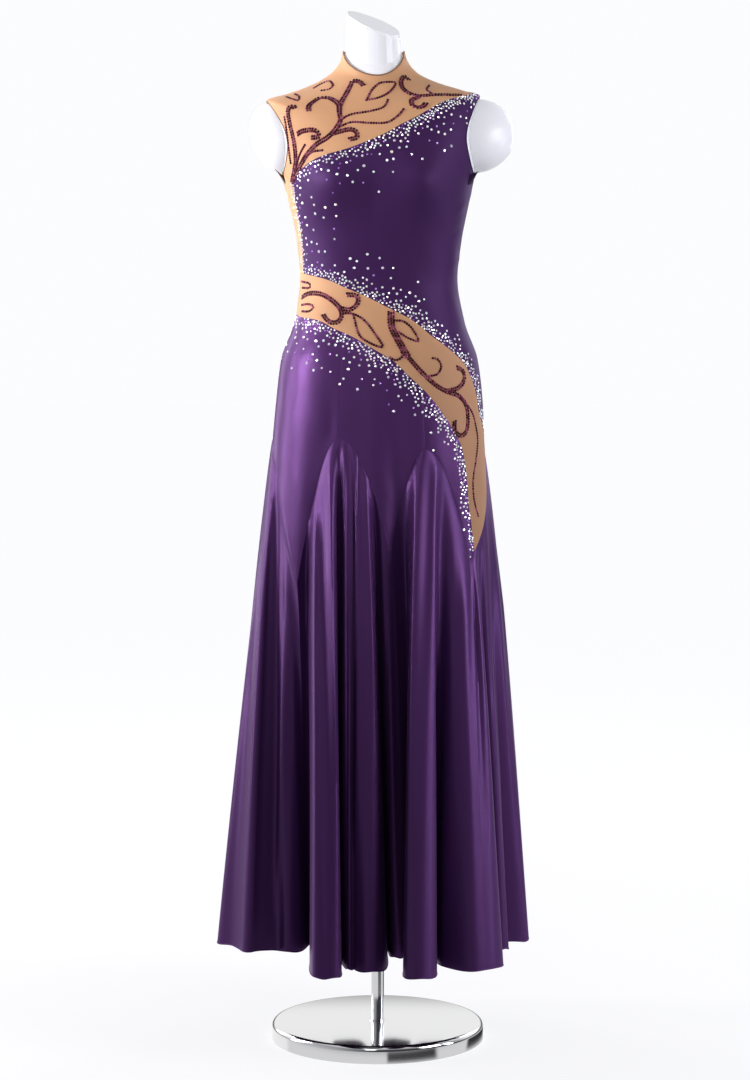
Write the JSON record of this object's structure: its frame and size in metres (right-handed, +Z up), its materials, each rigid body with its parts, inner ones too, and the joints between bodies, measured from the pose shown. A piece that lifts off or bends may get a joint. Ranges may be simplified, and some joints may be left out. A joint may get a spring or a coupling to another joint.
{
  "type": "ballroom dance dress on a dress form stand",
  "caption": "Sleeveless full-length ballroom dance dress with a sheer yoke, a winding hip band and a flared godet skirt, standing on a limbless dress form with a round base.",
  "frame": {"origin": "centre of the round base's underside, on the pole's axis", "axes": "+Z up along the pole, -Y the way the dress's front faces, +X towards the wearer's left side, where the band's tip is"},
  "size_m": [0.5037, 0.5307, 1.6524],
  "materials": {
    "satin": "glossy stretch satin",
    "mesh": "matt stretch mesh",
    "form": "smooth white gloss",
    "chrome": "polished"
  },
  "bodies": {
    "root": {"bodice_back_left": "satin", "bodice_back_right": "satin", "bodice_front": "satin", "godet_back_left": "satin", "godet_back_right": "satin", "godet_front_left": "satin", "godet_front_right": "satin", "godet_side_left": "satin", "godet_side_right": "satin", "hip_panel_back_left": "satin", "hip_panel_back_middle": "satin", "hip_panel_back_right": "satin", "hip_panel_front_left": "satin", "hip_panel_front_middle": "satin", "hip_panel_front_right": "satin", "band_back_left": "mesh", "band_back_right": "mesh", "band_front": "mesh", "side_mesh": "mesh", "yoke_back_left": "mesh", "yoke_back_right": "mesh", "yoke_front": "mesh", "dress_form": "form", "neck_cap": "form", "shoulder_cap_left": "form", "shoulder_cap_right": "form", "base_disc": "chrome", "pole": "chrome"}
  },
  "joints": []
}
